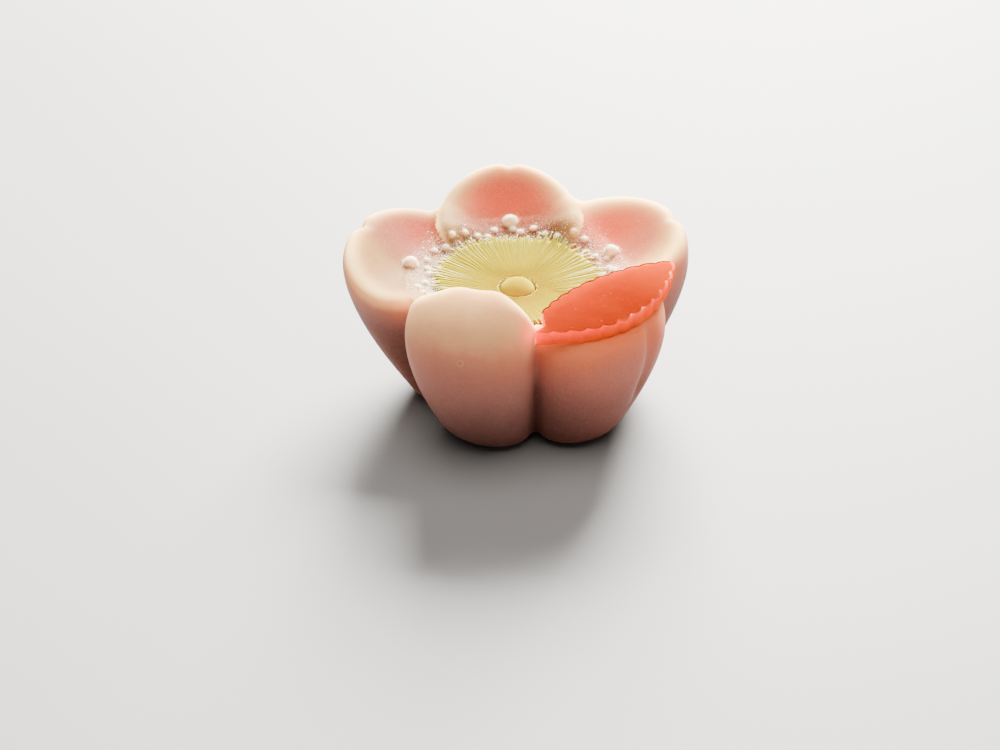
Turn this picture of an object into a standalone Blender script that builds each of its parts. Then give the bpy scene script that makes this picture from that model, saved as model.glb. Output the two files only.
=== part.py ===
"""Plum-blossom sweet of moulded bean paste, with a yellow stamen disc, a pistil and a jelly leaf.

The drawing is in millimetres and MM turns it into metres where a mesh is made. The table is z = 0,
+Z is up, and the origin is the middle of the base. The side with the leaf faces -Y.
"""

import math
import random

import bmesh
import bpy
import numpy as np

MM = 0.001

# Bowl of the flower: a shallow dish that rises outwards from the middle
FLOOR_Z = 16.7
BOWL_RADIUS = 15.7
BOWL_RISE = 3.8
BOWL_POWER = 1.5

# Rounding and blending of the soft paste
CORE_FOOT_RADIUS = 10.6
CORE_RIM_RADIUS = 14.8
CORE_EDGE = 0.5
FOOT_ROUND = 3.0
FOOT_SUNK = 0.3
RIM_ROUND = 2.2
CREASE_ROUND = 1.1
LAP_ROUND = 0.5
WALL_SLOPE = 0.93
DISH_SLOPE = 0.8

# One petal: direction in degrees, then lengths. The wall is widest at level `wide`, and from there it
# draws in by `foot_in` down to the table and by `rim_in` up to the crest. The rim is at `crest` on the
# tip and at `left` and `right` on its sides, seen from the middle outwards. `slim` says how much faster
# than the reach the width shrinks. `tuck` is under 1 on a side that runs on under the next petal, and
# `over` names the petals that lie over this one. `peak` is the angle round the lobe at which the rim is
# highest and half the width of that stretch, in radians. `dish` is where within the lobe its hollow side
# starts to rise and where it reaches the rim.
PETALS = {
    "back": dict(
        turn=94.3, reach=26.0, half=11.0, centre=14.7, wide=22.0, foot_in=9.5, rim_in=0.7,
        crest=26.6, left=22.9, right=23.3, slim=1.3, tuck=(1.0, 1.0), over=(),
        peak=(0.0, 0.0), dish=(0.0, 1.0),
    ),
    "left": dict(
        turn=160.0, reach=25.8, half=9.1, centre=15.9, wide=22.0, foot_in=11.0, rim_in=0.6,
        crest=25.0, left=20.9, right=22.0, slim=1.1, tuck=(0.66, 0.74), over=("back", "front_left"),
        peak=(0.0, 0.0), dish=(0.0, 1.0),
    ),
    "front_left": dict(
        turn=245.8, reach=24.4, half=9.2, centre=16.5, wide=19.9, foot_in=9.7, rim_in=8.9,
        crest=29.3, left=19.0, right=22.4, slim=0.7, tuck=(1.0, 1.0), over=(),
        peak=(0.24, 0.24), dish=(0.0, 1.0),
    ),
    "front_right": dict(
        turn=319.8, reach=23.5, half=7.9, centre=15.3, wide=17.5, foot_in=6.7, rim_in=2.2,
        crest=25.2, left=23.8, right=23.6, slim=1.5, tuck=(0.74, 0.68), over=("front_left", "right"),
        peak=(0.0, 0.0), dish=(0.0, 0.6),
    ),
    "right": dict(
        turn=20.7, reach=26.1, half=10.7, centre=15.4, wide=20.8, foot_in=9.2, rim_in=1.0,
        crest=26.6, left=22.6, right=23.6, slim=1.0, tuck=(0.74, 1.0), over=("back",),
        peak=(0.0, 0.0), dish=(0.0, 1.0),
    ),
}
WALL_POWER = 1.5
WALL_SOFT = 0.12
RIM_SPAN = 1.65
RIM_FADE = 2.5
RIM_DEPTH = 1.0
CREST_SHARE = 0.9
RISE_FROM = 10.5
RISE_FULL = 15.5

# Notch at each tip: angle round the lobe, depth, width in radians, and the level where its crease ends
NOTCHES = {
    "back": (-0.07, 0.6, 0.10, 17.0),
    "left": (-0.055, 0.85, 0.13, 14.0),
    "front_left": (0.25, 0.25, 0.12, 24.0),
    "front_right": (0.11, 0.7, 0.12, 6.0),
    "right": (-0.02, 0.75, 0.12, 12.0),
}
NOTCH_FADE = 6.0

# Jelly leaf: a pointed oval with a pinked edge, laid across the front right petal
LEAF_FROM = (2.1, -20.3, 24.4)
LEAF_TO = (22.1, -3.0, 25.1)
LEAF_HALF = 5.3
LEAF_THICK = 1.9
LEAF_TILT = -0.04
LEAF_SAG = 0.026
LEAF_TEETH = 12
LEAF_TOOTH = 0.45
LEAF_NIP = (-0.9, -0.66)
LEAF_NIP_LEAST = 0.1
LEAF_STEPS = 4
LEAF_SAMPLES = 2001
LEAF_RINGS = (0.0, 0.35, 0.7, 1.0)
LEAF_FULLNESS = 0.91
LEAF_BED = 0.45

# Stamen disc, its collar and the pistil
GAP = 0.3
DISC_RADIUS = 12.2
DISC_DRAWN_IN = 2.6
DISC_DRAWN_SPAN = 0.75
DISC_HOLE = 2.9
DISC_RIDGES = 90
DISC_RIDGE = 0.16
RIDGE_START = 0.05
RIDGE_FULL = 0.3
DISC_THICK_IN = 1.8
DISC_THICK_OUT = 0.45
DISC_CLEARANCE = 0.45
DISC_TOP_SHARES = (0.0, 0.05, 0.3, 0.65, 1.0)
DISC_BOTTOM_SHARES = (1.0, 0.5, 0.0)
COLLAR_RADIUS = 3.35
COLLAR_WIDTH = 0.45
COLLAR_RISE = 0.25
PISTIL_RADIUS = 2.5
PISTIL_SIDE = 1.55
PISTIL_FOOT = 0.9
PISTIL_TOP = 20.3
PISTIL_SIDES = 24
PISTIL_RINGS = 5

# Pearls, one to a petal, and the small anther beads round the disc
PEARL_RADIUS = 1.0
PEARL_LIFT = 0.1
PEARLS = ((93.6, 15.9), (166.7, 16.0), (245.8, 13.2), (319.8, 15.4), (27.3, 15.6))
ANTHERS = 46
ANTHER_RADIUS = (0.34, 0.46)
ANTHER_RING = (13.0, 14.6)
ANTHER_LIFT = 0.1
SEED = 5

# Sampling of the paste body
CELL = 0.46
BODY_LOW = (-28.0, -28.0, -1.5)
BODY_HIGH = (28.0, 28.0, 30.5)
BODY_TRIANGLES = 7500


def smooth_max(a, b, width):
    """The larger of two, with the corner between them rounded over the given width."""
    mix = np.clip(0.5 + 0.5 * (a - b) / width, 0.0, 1.0)
    return b + (a - b) * mix + width * mix * (1.0 - mix)


def smooth_min(a, b, width):
    return -smooth_max(-a, -b, width)


def smooth_step(start, end, value):
    t = np.clip((value - start) / (end - start), 0.0, 1.0)
    return t * t * (3.0 - 2.0 * t)


def floor_height(radius):
    return FLOOR_Z + BOWL_RISE * (radius / BOWL_RADIUS) ** BOWL_POWER


def into_petal(petal, x, y):
    """Coordinates along the petal's direction and to its left."""
    turn = math.radians(petal["turn"])
    along = x * math.cos(turn) + y * math.sin(turn)
    aside = y * math.cos(turn) - x * math.sin(turn)
    return along, aside


def soft_power(share):
    """The power that shapes the wall, eased at its start so that the wall has no ridge there."""
    start = WALL_SOFT**WALL_POWER
    full = (1.0 + WALL_SOFT**2) ** (WALL_POWER / 2.0) - start
    return ((share**2 + WALL_SOFT**2) ** (WALL_POWER / 2.0) - start) / full


def shrink(petal, z):
    """How much of the petal's widest outline is left at a level."""
    wide = petal["wide"]
    below = np.clip((wide - z) / wide, 0.0, None)
    above = np.clip((z - wide) / (petal["crest"] - wide), 0.0, None)
    drawn_in = petal["foot_in"] * soft_power(below) + petal["rim_in"] * above**2
    return (petal["reach"] - drawn_in) / petal["reach"]


def lobe(petal, along, aside, scale):
    """Distance from the lobe's centre and angle round it, with its half width and centre."""
    half = petal["half"] * scale ** petal["slim"]
    centre = petal["centre"] * scale
    outer = petal["reach"] * scale - centre
    lengthwise = (along - centre) * np.where(along > centre, half / outer, 1.0)
    left_tuck, right_tuck = petal["tuck"]
    crosswise = aside * np.where(aside > 0.0, left_tuck, right_tuck)
    return np.hypot(lengthwise, crosswise), np.arctan2(crosswise, lengthwise), half, centre


def rim_level(petal, angle):
    """Height of the petal's rim at an angle round its lobe."""
    middle, level_part = petal["peak"]
    away = (np.abs(angle - middle) - level_part) / (RIM_SPAN - level_part)
    tip = 0.5 + 0.5 * np.cos(np.pi * np.clip(away, 0.0, 1.0))
    side = np.where(angle > middle, petal["left"], petal["right"])
    return side + (petal["crest"] - side) * tip


def dish_height(petal, along, aside):
    """Height of the petal's hollow side, and the place within the lobe from 0 to 1."""
    scale = shrink(petal, petal["crest"] - RIM_DEPTH)
    distance, angle, half, centre = lobe(petal, along, aside, scale)
    share = distance / half
    rim = rim_level(petal, angle)
    rim_radius = np.hypot(
        centre + CREST_SHARE * half * np.cos(angle), CREST_SHARE * half * np.sin(angle)
    )
    rise = (rim - floor_height(rim_radius)) * (1.0 - smooth_step(RIM_SPAN, RIM_FADE, np.abs(angle)))
    radius = np.hypot(along, aside)
    rise = rise * smooth_step(*petal["dish"], share) * smooth_step(RISE_FROM, RISE_FULL, radius)
    return floor_height(radius) + rise, share


def petal_field(name, x, y, z):
    """Negative inside the petal's paste."""
    petal = PETALS[name]
    along, aside = into_petal(petal, x, y)
    distance, angle, half, _ = lobe(petal, along, aside, shrink(petal, z))
    notch_angle, notch_depth, notch_width, notch_end = NOTCHES[name]
    groove = notch_depth * np.exp(-(((angle - notch_angle) / notch_width) ** 2))
    half = half - groove * smooth_step(notch_end, notch_end + NOTCH_FADE, z)
    wall = smooth_max((distance - half) * WALL_SLOPE, -(z + FOOT_SUNK), FOOT_ROUND)
    height, _ = dish_height(petal, along, aside)
    return smooth_max(wall, (z - height) * DISH_SLOPE, RIM_ROUND)


def hollow_field(name, x, y, z):
    """Negative in the open space above the petal's hollow side."""
    petal = PETALS[name]
    along, aside = into_petal(petal, x, y)
    height, share = dish_height(petal, along, aside)
    return np.maximum((share - CREST_SHARE) * petal["half"], (height - z) * DISH_SLOPE)


def leaf_frame():
    """Middle of the leaf, its length, and the directions along it and across it."""
    start = np.array(LEAF_FROM[:2])
    end = np.array(LEAF_TO[:2])
    length = np.linalg.norm(end - start)
    along = (end - start) / length
    across = np.array((-along[1], along[0]))
    return (start + end) / 2.0, length, along, across


def leaf_half_width(share):
    """Half the leaf's width at a share from -1 to 1 of its half length."""
    return LEAF_HALF * np.clip(1.0 - share**2, 0.0, None) ** LEAF_FULLNESS


def leaf_nip(share, side):
    """How much of the half width is left beside the tip, where the leaf's back side is nipped in."""
    nip = np.maximum(smooth_step(*LEAF_NIP, share), LEAF_NIP_LEAST)
    return np.where(np.asarray(side) > 0.0, nip, 1.0)


def leaf_shares(steps):
    """Places from -1 to 1 along the leaf that lie at even distances along its edge."""
    share = np.linspace(-1.0, 1.0, LEAF_SAMPLES)
    run = np.hypot(np.diff(share) * leaf_frame()[1] / 2.0, np.diff(leaf_half_width(share)))
    travelled = np.concatenate([[0.0], np.cumsum(run)])
    return np.interp(np.linspace(0.0, travelled[-1], steps + 1), travelled, share)


def leaf_top(u, v):
    """Level of the upper face: it rises from tip to tip and its long edges sag."""
    share = u / leaf_frame()[1]
    level = (LEAF_FROM[2] + LEAF_TO[2]) / 2.0 + (LEAF_TO[2] - LEAF_FROM[2]) * share
    return level + LEAF_TILT * v - LEAF_SAG * v**2


def leaf_bed_field(x, y, z):
    """Negative in the leaf's own space and above it, with the gap that it keeps."""
    middle, length, along, across = leaf_frame()
    u = (x - middle[0]) * along[0] + (y - middle[1]) * along[1]
    v = (x - middle[0]) * across[0] + (y - middle[1]) * across[1]
    share = u / (length / 2.0 + LEAF_BED)
    outline = np.abs(v) - (leaf_half_width(share) + LEAF_TOOTH) * leaf_nip(share, v)
    under = leaf_top(u, v) - LEAF_THICK - LEAF_BED
    return np.maximum(outline - LEAF_BED, under - z)


def flower_field(x, y, z):
    """The whole paste body: core and petals, each petal lying over the ones that name it."""
    radius = np.hypot(x, y)
    core_radius = CORE_FOOT_RADIUS + (CORE_RIM_RADIUS - CORE_FOOT_RADIUS) * z / FLOOR_Z
    core_wall = smooth_max(radius - core_radius, -(z + FOOT_SUNK), FOOT_ROUND)
    body = smooth_max(core_wall, z - floor_height(radius), CORE_EDGE)
    hollows = {name: hollow_field(name, x, y, z) for name in ("back", "front_left", "right")}
    for name, petal in PETALS.items():
        paste = petal_field(name, x, y, z)
        for upper in petal["over"]:
            paste = smooth_max(paste, -hollows[upper], LAP_ROUND)
        body = smooth_min(body, paste, CREASE_ROUND)
    return smooth_max(body, -leaf_bed_field(x, y, z), LAP_ROUND)


def skin(field, low, high, cell):
    """Quads round a field's zero level: one point in each cell of a grid that the level crosses."""
    low = np.array(low)
    count = np.ceil((np.array(high) - low) / cell).astype(int) + 1
    axes = [low[i] + cell * np.arange(count[i]) for i in range(3)]
    values = field(*np.meshgrid(*axes, indexing="ij"))
    inside = values < 0.0
    cells = count - 1
    total = np.zeros((*cells, 3))
    crossings = np.zeros(cells)
    for axis in range(3):
        step = np.eye(3, dtype=int)[axis]
        for corner in np.ndindex(2, 2, 2):
            if corner[axis]:
                continue
            near = tuple(slice(c, c + n) for c, n in zip(corner, cells))
            far = tuple(slice(c, c + n) for c, n in zip(corner + step, cells))
            crossed = inside[near] != inside[far]
            where = values[near][crossed] / (values[near] - values[far])[crossed]
            total[crossed] += corner + where[:, None] * step
            crossings[crossed] += 1
    used = crossings > 0
    number = np.full(cells, -1)
    number[used] = np.arange(used.sum())
    points = (np.argwhere(used) + total[used] / crossings[used][:, None]) * cell + low
    quads = []
    for axis in range(3):
        first, second = (i for i in range(3) if i != axis)
        start = [slice(1, -1)] * 3
        start[axis] = slice(0, -1)
        end = list(start)
        end[axis] = slice(1, None)
        corner = np.argwhere(inside[tuple(start)] != inside[tuple(end)])
        corner[:, first] += 1
        corner[:, second] += 1
        ring = []
        for back_first, back_second in ((1, 1), (0, 1), (0, 0), (1, 0)):
            cell_index = corner.copy()
            cell_index[:, first] -= back_first
            cell_index[:, second] -= back_second
            ring.append(number[tuple(cell_index.T)])
        quads.append(np.stack(ring, axis=1))
    return points, np.concatenate(quads)


def settle(field, points, cell, rounds=3, probe=0.05, least_slope=0.2, gain=0.8):
    """Move the points down the field's slope until they lie on its zero level."""
    for _ in range(rounds):
        here = field(*points.T)
        slope = np.stack([(field(*(points + probe * step).T) - here) / probe for step in np.eye(3)], 1)
        steepness = np.clip((slope**2).sum(axis=1), least_slope, None)
        move = -(here / steepness)[:, None] * slope
        length = np.linalg.norm(move, axis=1, keepdims=True)
        points = points + gain * move * np.minimum(1.0, 0.5 * cell / np.maximum(length, 1e-9))
    return points


def top_of_body(x, y, low=10.0, high=24.0, rounds=30):
    """Height of the paste's upper surface over points near the middle."""
    low = np.full(np.shape(x), low)
    high = np.full(np.shape(x), high)
    for _ in range(rounds):
        middle = (low + high) / 2.0
        solid = flower_field(x, y, middle) < 0.0
        low = np.where(solid, middle, low)
        high = np.where(solid, high, middle)
    return low


def material(name, colour, roughness):
    surface = bpy.data.materials.new(name)
    surface.use_nodes = True
    shader = surface.node_tree.nodes["Principled BSDF"]
    shader.inputs["Base Color"].default_value = (*colour, 1.0)
    shader.inputs["Roughness"].default_value = roughness
    shader.inputs["Metallic"].default_value = 0.0
    return surface


def make_object(name, points, faces, surface, sharp_angle=50.0):
    """Closed object from points in millimetres, faces turned outwards and shaded smooth."""
    mesh = bpy.data.meshes.new(name)
    mesh.from_pydata([tuple(point) for point in np.asarray(points) * MM], [], [tuple(f) for f in faces])
    bm = bmesh.new()
    bm.from_mesh(mesh)
    bmesh.ops.recalc_face_normals(bm, faces=bm.faces)
    bm.to_mesh(mesh)
    bm.free()
    mesh.shade_smooth()
    mesh.set_sharp_from_angle(angle=math.radians(sharp_angle))
    mesh.materials.append(surface)
    thing = bpy.data.objects.new(name, mesh)
    bpy.context.scene.collection.objects.link(thing)
    return thing


def freeze(thing):
    """Turn an object's modifiers into its mesh."""
    graph = bpy.context.evaluated_depsgraph_get()
    mesh = bpy.data.meshes.new_from_object(thing.evaluated_get(graph))
    thing.modifiers.clear()
    thing.data = mesh


def cut_flat_base(thing):
    """Cut the body off at the table and close it with one flat face."""
    bm = bmesh.new()
    bm.from_mesh(thing.data)
    everything = list(bm.verts) + list(bm.edges) + list(bm.faces)
    bmesh.ops.bisect_plane(
        bm, geom=everything, plane_co=(0, 0, 0), plane_no=(0, 0, 1), clear_inner=True
    )
    bmesh.ops.holes_fill(bm, edges=[edge for edge in bm.edges if edge.is_boundary])
    bmesh.ops.recalc_face_normals(bm, faces=bm.faces)
    bm.to_mesh(thing.data)
    bm.free()


def make_bead(collection, x, y, radius, lift, subdivisions):
    """One round bead, its middle lifted a little over the paste that it is pressed into."""
    bm = bmesh.new()
    bmesh.ops.create_icosphere(bm, subdivisions=subdivisions, radius=radius * MM)
    height = float(top_of_body(np.array([x]), np.array([y]))[0]) + lift
    bmesh.ops.translate(bm, verts=bm.verts, vec=(x * MM, y * MM, height * MM))
    mesh = bpy.data.meshes.new("bead")
    bm.to_mesh(mesh)
    bm.free()
    collection.objects.link(bpy.data.objects.new("bead", mesh))


def make_beads():
    """Pearls on the petals and anther beads round the stamen disc, in a collection of their own."""
    beads = bpy.data.collections.new("beads")
    bpy.context.scene.collection.children.link(beads)
    for turn, radius in PEARLS:
        angle = math.radians(turn)
        make_bead(beads, radius * math.cos(angle), radius * math.sin(angle), PEARL_RADIUS, PEARL_LIFT, 2)
    draw = random.Random(SEED)
    for index in range(ANTHERS):
        angle = 2.0 * math.pi * (index + draw.uniform(-0.25, 0.25)) / ANTHERS
        radius = draw.uniform(*ANTHER_RING)
        size = draw.uniform(*ANTHER_RADIUS)
        make_bead(beads, radius * math.cos(angle), radius * math.sin(angle), size, ANTHER_LIFT, 1)
    return beads


def make_petals(surface):
    """The paste body with the pearls and anther beads fused on."""
    points, quads = skin(flower_field, BODY_LOW, BODY_HIGH, CELL)
    points = settle(flower_field, points, CELL)
    body = make_object("petals", points, quads, surface)
    cut_flat_base(body)
    thin_out = body.modifiers.new("thin_out", "DECIMATE")
    thin_out.ratio = BODY_TRIANGLES / (2.0 * len(quads))
    thin_out.use_collapse_triangulate = True
    freeze(body)
    beads = make_beads()
    join = body.modifiers.new("join", "BOOLEAN")
    join.operation = "UNION"
    join.operand_type = "COLLECTION"
    join.collection = beads
    join.solver = "EXACT"
    freeze(body)
    for bead in list(beads.objects):
        bpy.data.objects.remove(bead)
    bpy.data.collections.remove(beads)
    return body


def ring_faces(rings, sides, closed_middle=False):
    """Quads between rings of points, each ring holding the same number of them."""
    faces = []
    for ring in range(rings - 1):
        for side in range(sides):
            after = (side + 1) % sides
            low = ring * sides
            high = low + sides
            faces.append((low + side, low + after, high + after, high + side))
    if closed_middle:
        low = (rings - 1) * sides
        for side in range(sides):
            faces.append((low + side, low + (side + 1) % sides, rings * sides))
    return faces


def disc_edge(angle):
    """Radius of the stamen disc: the folded front left petal leaves it less room."""
    turned = angle - math.radians(PETALS["front_left"]["turn"])
    turned = (turned + math.pi) % (2.0 * math.pi) - math.pi
    return DISC_RADIUS - DISC_DRAWN_IN * np.exp(-((turned / DISC_DRAWN_SPAN) ** 2))


def rest_height(x, y):
    """Lowest height at which a thin layer clears the paste close by."""
    offset = np.array((-DISC_CLEARANCE, 0.0, DISC_CLEARANCE))
    near_x = x[..., None, None] + offset[:, None]
    near_y = y[..., None, None] + offset[None, :]
    near_x, near_y = np.broadcast_arrays(near_x, near_y)
    return top_of_body(near_x, near_y).max(axis=(-1, -2)) + GAP


def make_stamen_disc(surface):
    """Thin ridged disc of paste with a hole for the pistil, lying on the bowl."""
    sides = 2 * DISC_RIDGES
    angle = np.linspace(0.0, 2.0 * np.pi, sides, endpoint=False)
    ridge = DISC_RIDGE * np.where(np.arange(sides) % 2, -1.0, 1.0)
    share = np.array(DISC_TOP_SHARES + DISC_BOTTOM_SHARES)[:, None]
    upper = np.arange(len(share))[:, None] < len(DISC_TOP_SHARES)
    radius = DISC_HOLE + (disc_edge(angle) - DISC_HOLE) * share
    x = radius * np.cos(angle)
    y = radius * np.sin(angle)
    collar = COLLAR_RISE * np.exp(-(((radius - COLLAR_RADIUS) / COLLAR_WIDTH) ** 2))
    thick = DISC_THICK_IN + (DISC_THICK_OUT - DISC_THICK_IN) * share
    relief = thick + collar + ridge * smooth_step(RIDGE_START, RIDGE_FULL, share)
    z = rest_height(x, y) + np.where(upper, relief, 0.0)
    points = np.stack([x, y, z], axis=-1).reshape(-1, 3)
    faces = ring_faces(len(share), sides)
    last = (len(share) - 1) * sides
    for side in range(sides):
        after = (side + 1) % sides
        faces.append((last + side, last + after, after, side))
    return make_object("stamen_disc", points, faces, surface)


def make_pistil(surface):
    """Domed button in the middle of the disc, flat underneath."""
    bottom = FLOOR_Z + GAP
    dome = PISTIL_TOP - bottom - PISTIL_SIDE
    angle = np.linspace(0.0, 2.0 * np.pi, PISTIL_SIDES, endpoint=False)
    profile = [(PISTIL_FOOT * PISTIL_RADIUS, bottom)]
    for step in range(PISTIL_RINGS):
        lift = 0.5 * math.pi * step / PISTIL_RINGS
        profile.append((PISTIL_RADIUS * math.cos(lift), bottom + PISTIL_SIDE + dome * math.sin(lift)))
    points = [(r * math.cos(a), r * math.sin(a), z) for r, z in profile for a in angle]
    points.append((0.0, 0.0, PISTIL_TOP))
    faces = ring_faces(len(profile), PISTIL_SIDES, closed_middle=True)
    faces.append(tuple(range(PISTIL_SIDES)))
    return make_object("pistil", points, faces, surface)


def make_leaf(surface):
    """Flat jelly leaf with a pinked edge, both faces split alike."""
    middle, length, along, across = leaf_frame()
    steps = LEAF_TEETH * LEAF_STEPS
    shares = leaf_shares(steps)
    outline = []
    for side in (1.0, -1.0):
        for step in range(steps):
            share = shares[step] * side
            tooth = abs(math.sin(math.pi * step / LEAF_STEPS))
            half = float(leaf_half_width(share)) + LEAF_TOOTH * tooth
            outline.append((share * length / 2.0, side * half * float(leaf_nip(share, side))))
    outline = np.array(outline)
    top = []
    bottom = []
    for ring in LEAF_RINGS[:0:-1]:
        u = outline[:, 0] * ring
        v = outline[:, 1] * ring
        x = middle[0] + u * along[0] + v * across[0]
        y = middle[1] + u * along[1] + v * across[1]
        z = leaf_top(u, v)
        top.append(np.stack([x, y, z], axis=1))
        bottom.append(np.stack([x, y, z - LEAF_THICK], axis=1))
    sides = len(outline)
    face_points = len(top) * sides + 1
    centre = (middle[0], middle[1], leaf_top(0.0, 0.0))
    centre_below = (centre[0], centre[1], centre[2] - LEAF_THICK)
    points = np.concatenate(top + [[centre]] + bottom + [[centre_below]])
    face = ring_faces(len(top), sides, closed_middle=True)
    faces = face + [tuple(index + face_points for index in corners) for corners in face]
    for side in range(sides):
        after = (side + 1) % sides
        faces.append((side, after, face_points + after, face_points + side))
    return make_object("jelly_leaf", points, faces, surface, sharp_angle=35.0)


def main():
    for thing in list(bpy.data.objects):
        bpy.data.objects.remove(thing)
    make_petals(material("petal_paste", (0.86, 0.62, 0.50), 0.45))
    make_stamen_disc(material("stamen_paste", (0.82, 0.69, 0.20), 0.5))
    make_pistil(material("pistil_paste", (0.80, 0.60, 0.10), 0.4))
    make_leaf(material("leaf_jelly", (0.93, 0.20, 0.06), 0.15))


main()
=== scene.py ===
"""Looks of a plum-blossom sweet: moulded bean paste, combed stamens, a pistil and a jelly leaf.

The drawing is in millimetres, as the solids are drawn, and MM turns it into metres where a mesh is
made. The table is z = 0, +Z is up through the pistil, and the side with the leaf faces -Y.
"""

import math
import random

import bmesh
import bpy
import numpy as np
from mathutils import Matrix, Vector


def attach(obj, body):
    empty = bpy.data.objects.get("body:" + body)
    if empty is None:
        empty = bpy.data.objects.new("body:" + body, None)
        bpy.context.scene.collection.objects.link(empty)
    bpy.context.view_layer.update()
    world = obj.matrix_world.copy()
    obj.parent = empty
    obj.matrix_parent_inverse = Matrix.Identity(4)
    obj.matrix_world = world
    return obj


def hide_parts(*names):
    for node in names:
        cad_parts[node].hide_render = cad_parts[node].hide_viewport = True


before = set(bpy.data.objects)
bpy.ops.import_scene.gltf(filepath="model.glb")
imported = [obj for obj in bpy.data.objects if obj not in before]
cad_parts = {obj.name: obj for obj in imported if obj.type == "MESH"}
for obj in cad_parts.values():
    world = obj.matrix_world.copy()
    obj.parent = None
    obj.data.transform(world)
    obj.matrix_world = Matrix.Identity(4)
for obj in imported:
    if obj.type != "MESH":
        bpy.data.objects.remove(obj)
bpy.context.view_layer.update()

MM = 0.001

# Bowl of the flower: a shallow dish that rises outwards from the middle
FLOOR_Z = 16.7
BOWL_RADIUS = 15.7
BOWL_RISE = 3.8
BOWL_POWER = 1.5

# Rounding and blending of the soft paste
CORE_FOOT_RADIUS = 10.6
CORE_RIM_RADIUS = 14.8
CORE_EDGE = 0.5
FOOT_ROUND = 3.0
FOOT_SUNK = 0.3
RIM_ROUND = 2.2
CREASE_ROUND = 1.1
LAP_ROUND = 0.5
WALL_SLOPE = 0.93
DISH_SLOPE = 0.8

# One petal: direction in degrees, then lengths. The wall is widest at level `wide`, and from there it
# draws in by `foot_in` down to the table and by `rim_in` up to the crest. The rim is at `crest` on the
# tip and at `left` and `right` on its sides, seen from the middle outwards. `slim` says how much faster
# than the reach the width shrinks. `tuck` is under 1 on a side that runs on under the next petal, and
# `over` names the petals that lie over this one. `peak` is the angle round the lobe at which the rim is
# highest and half the width of that stretch, in radians. `dish` is where within the lobe its hollow side
# starts to rise and where it reaches the rim.
PETALS = {
    "back": dict(
        turn=94.3, reach=26.0, half=11.0, centre=14.7, wide=22.0, foot_in=9.5, rim_in=0.7,
        crest=26.6, left=22.9, right=23.3, slim=1.3, tuck=(1.0, 1.0), over=(),
        peak=(0.0, 0.0), dish=(0.0, 1.0),
    ),
    "left": dict(
        turn=160.0, reach=25.8, half=9.1, centre=15.9, wide=22.0, foot_in=11.0, rim_in=0.6,
        crest=25.0, left=20.9, right=22.0, slim=1.1, tuck=(0.66, 0.74), over=("back", "front_left"),
        peak=(0.0, 0.0), dish=(0.0, 1.0),
    ),
    "front_left": dict(
        turn=245.8, reach=24.4, half=9.2, centre=16.5, wide=19.9, foot_in=9.7, rim_in=8.9,
        crest=29.3, left=19.0, right=22.4, slim=0.7, tuck=(1.0, 1.0), over=(),
        peak=(0.24, 0.24), dish=(0.0, 1.0),
    ),
    "front_right": dict(
        turn=319.8, reach=23.5, half=7.9, centre=15.3, wide=17.5, foot_in=6.7, rim_in=2.2,
        crest=25.2, left=23.8, right=23.6, slim=1.5, tuck=(0.74, 0.68), over=("front_left", "right"),
        peak=(0.0, 0.0), dish=(0.0, 0.6),
    ),
    "right": dict(
        turn=20.7, reach=26.1, half=10.7, centre=15.4, wide=20.8, foot_in=9.2, rim_in=1.0,
        crest=26.6, left=22.6, right=23.6, slim=1.0, tuck=(0.74, 1.0), over=("back",),
        peak=(0.0, 0.0), dish=(0.0, 1.0),
    ),
}
WALL_POWER = 1.5
WALL_SOFT = 0.12
RIM_SPAN = 1.65
RIM_FADE = 2.5
RIM_DEPTH = 1.0
CREST_SHARE = 0.9
RISE_FROM = 10.5
RISE_FULL = 15.5

# Notch at each tip: angle round the lobe, depth, width in radians, and the level where its crease ends
NOTCHES = {
    "back": (-0.07, 0.6, 0.10, 17.0),
    "left": (-0.055, 0.85, 0.13, 14.0),
    "front_left": (0.25, 0.25, 0.12, 24.0),
    "front_right": (0.11, 0.7, 0.12, 6.0),
    "right": (-0.02, 0.75, 0.12, 12.0),
}
NOTCH_FADE = 6.0

# Jelly leaf: a pointed oval with a pinked edge, laid across the front right petal. A thin dark line of
# painted shade runs along its back edge, and a painted glint along its front edge.
LEAF_FROM = (2.1, -20.3, 24.4)
LEAF_TO = (22.1, -3.0, 25.1)
LEAF_HALF = 5.3
LEAF_THICK = 1.9
LEAF_TILT = -0.04
LEAF_SAG = 0.026
LEAF_TEETH = 12
LEAF_TOOTH = 0.45
LEAF_NIP = (-0.9, -0.66)
LEAF_NIP_LEAST = 0.1
LEAF_STEPS = 10
LEAF_SAMPLES = 2001
LEAF_RINGS = 14
LEAF_FULLNESS = 0.91
LEAF_BED = 0.45
LEAF_EDGE = 0.18
LEAF_EDGE_STEPS = 4
LEAF_FOOT_TOOTH = 0.35
LEAF_FOOT_LOW = 0.3
LEAF_LINE_AT = 0.985
LEAF_LINE_FROM = 22
LEAF_LINE_SUNK = 0.03
LEAF_LINE_RADIUS = 0.13
LEAF_GLINT_FROM = 0.95
LEAF_GLINT_END = 0.22
LEAF_GLINT_LEAST = 0.35
LEAF_GLINT_START = (-0.35, 0.1)

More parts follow.
